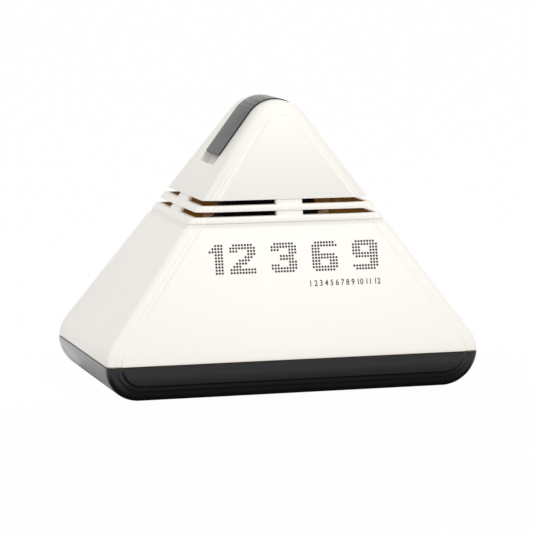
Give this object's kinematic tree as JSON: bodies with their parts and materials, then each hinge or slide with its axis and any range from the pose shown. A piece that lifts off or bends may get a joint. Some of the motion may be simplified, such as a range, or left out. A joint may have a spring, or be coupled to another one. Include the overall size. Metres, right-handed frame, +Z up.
{
  "type": "talking desk clock",
  "caption": "Rounded triangular talking clock with a press bar over its apex, slotted speaker cap, black base with controls and battery door underneath.",
  "frame": {"origin": "on the desk under the middle of the clock, at the undersides of the feet", "axes": "+X to the right seen from the printed face, -Y out of that face, +Z up"},
  "size_m": [0.165, 0.0908, 0.1236],
  "materials": {
    "white_shell": "warm white moulded plastic, fine satin grain",
    "black_shell": "black moulded plastic, satin gloss",
    "bar_plastic": "black moulded plastic, soft satin",
    "holder_plastic": "black moulded plastic",
    "button_plastic": "grey moulded plastic",
    "switch_plastic": "black switch plastic",
    "foot_rubber": "black rubber",
    "dome_rubber": "grey silicone rubber",
    "foam_edge": "black foam rubber",
    "cone_paper": "dark pressed paper",
    "ferrite": "sintered ferrite",
    "copper_winding": "enamelled copper wire",
    "pressed_steel": "zinc plated pressed steel",
    "screw_steel": "zinc plated screw steel",
    "spring_steel": "plated spring wire",
    "contact_nickel": "nickel plated strip",
    "cell_jacket": "plain printed cell jacket",
    "clear_window": "clear moulded window",
    "display_glass": "grey green display glass",
    "circuit_board": "green resin board",
    "chip_resin": "black moulded resin",
    "capacitor_sleeve": "dark blue sleeve",
    "black_insulation": "black insulation",
    "red_insulation": "red insulation"
  },
  "bodies": {
    "root": {"base_tray": "black_shell", "housing": "white_shell", "cap": "white_shell", "feet": "foot_rubber", "base_screws": "screw_steel", "cap_screws": "screw_steel", "board_screws": "screw_steel", "talk_board_screws": "screw_steel", "speaker_holder": "holder_plastic", "speaker_frame": "pressed_steel", "speaker_top_plate": "pressed_steel", "speaker_magnet": "ferrite", "speaker_yoke": "pressed_steel", "speaker_cone": "cone_paper", "speaker_voice_coil": "copper_winding", "speaker_surround": "foam_edge", "speaker_dust_cap": "cone_paper", "speaker_gasket": "foam_edge", "speaker_ring": "holder_plastic", "bar_springs": "spring_steel", "talk_dome": "dome_rubber", "talk_board": "circuit_board", "battery_cells": "cell_jacket", "battery_contact_minus": "contact_nickel", "battery_contact_plus": "contact_nickel", "battery_link": "contact_nickel", "battery_springs": "spring_steel", "display_window": "clear_window", "display_glass": "display_glass", "display_strips": "dome_rubber", "button_switches": "switch_plastic", "slide_switches": "pressed_steel", "main_board": "circuit_board", "speech_chip": "chip_resin", "clock_chip": "chip_resin", "crystal": "pressed_steel", "capacitors": "capacitor_sleeve", "resistors": "chip_resin", "battery_lead_minus": "black_insulation", "battery_lead_plus": "red_insulation", "speaker_leads": "red_insulation", "talk_leads": "black_insulation"},
    "talk_bar": {"talk_bar": "bar_plastic"},
    "battery_door": {"battery_door": "black_shell"},
    "hour_button": {"hour_button": "button_plastic", "hour_plunger": "switch_plastic"},
    "minute_button": {"minute_button": "button_plastic", "minute_plunger": "switch_plastic"},
    "alarm_set_button": {"alarm_set_button": "button_plastic", "alarm_set_plunger": "switch_plastic"},
    "volume_button": {"volume_button": "button_plastic", "volume_plunger": "switch_plastic"},
    "alarm_switch": {"alarm_switch_knob": "button_plastic"},
    "voice_switch": {"voice_switch_knob": "button_plastic"}
  },
  "joints": [
    {"name": "talk_bar_press", "type": "slide", "parent": "root", "child": "talk_bar", "axis": [0, 0, -1], "range_m": [0, 0.0018], "stiffness_N_per_m": 600, "springref_m": -0.001, "deforming": ["bar_springs", "talk_dome"]},
    {"name": "battery_door_slide", "type": "slide", "parent": "root", "child": "battery_door", "axis": [0, 1, 0], "range_m": [0, 0.04]},
    {"name": "hour_press", "type": "slide", "parent": "root", "child": "hour_button", "axis": [0, 0, 1], "range_m": [0, 0.0006], "stiffness_N_per_m": 1500, "springref_m": -0.0004},
    {"name": "minute_press", "type": "slide", "parent": "root", "child": "minute_button", "axis": [0, 0, 1], "range_m": [0, 0.0006], "stiffness_N_per_m": 1500, "springref_m": -0.0004},
    {"name": "alarm_set_press", "type": "slide", "parent": "root", "child": "alarm_set_button", "axis": [0, 0, 1], "range_m": [0, 0.0006], "stiffness_N_per_m": 1500, "springref_m": -0.0004},
    {"name": "volume_press", "type": "slide", "parent": "root", "child": "volume_button", "axis": [0, 0, 1], "range_m": [0, 0.0006], "stiffness_N_per_m": 1500, "springref_m": -0.0004},
    {"name": "alarm_switch_slide", "type": "slide", "parent": "root", "child": "alarm_switch", "axis": [1, 0, 0], "range_m": [0, 0.004]},
    {"name": "voice_switch_slide", "type": "slide", "parent": "root", "child": "voice_switch", "axis": [1, 0, 0], "range_m": [0, 0.004]}
  ]
}
